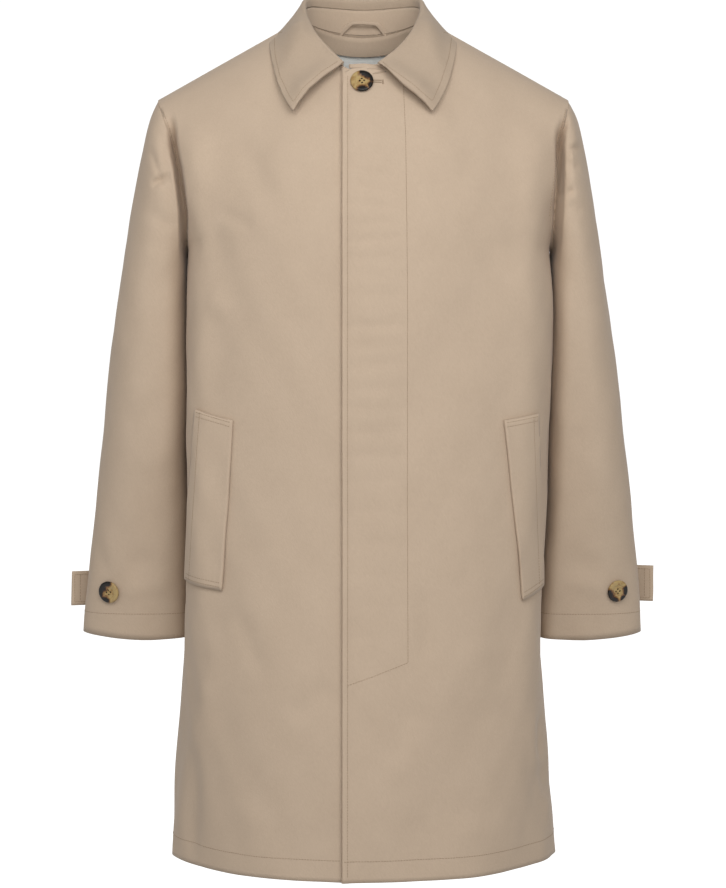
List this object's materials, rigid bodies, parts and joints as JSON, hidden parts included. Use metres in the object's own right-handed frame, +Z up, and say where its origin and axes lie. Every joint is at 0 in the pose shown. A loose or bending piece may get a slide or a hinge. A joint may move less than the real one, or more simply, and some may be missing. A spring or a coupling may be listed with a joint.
{
  "type": "mackintosh coat",
  "caption": "Hollow single-breasted raincoat with a turned-down collar, fly front, slanted welt pockets and loose cuff tabs, filled out as if worn.",
  "frame": {"origin": "middle of the neck opening, level with the points where the shoulder seams meet the neck seam, where the wearer holds the coat up", "axes": "+Z up, -Y towards the front, +X towards the wearer's left side"},
  "size_m": [0.7042, 0.35, 1.0133],
  "materials": {
    "coat_cloth": "fine matte cotton gabardine",
    "lining": "smooth pale woven lining",
    "button": "polished mottled horn look"
  },
  "bodies": {
    "root": {"front_left": "coat_cloth", "front_right": "coat_cloth", "back": "coat_cloth", "sleeve_left": "coat_cloth", "sleeve_right": "coat_cloth", "collar_stand": "coat_cloth", "collar_leaf": "coat_cloth", "neck_facing": "coat_cloth", "hanger_loop": "coat_cloth", "pocket_welt_left": "coat_cloth", "pocket_welt_right": "coat_cloth", "sleeve_tab_left": "coat_cloth", "sleeve_tab_right": "coat_cloth", "back_lining": "lining", "button_neck": "button", "button_cuff_left": "button", "button_cuff_right": "button"}
  },
  "joints": []
}
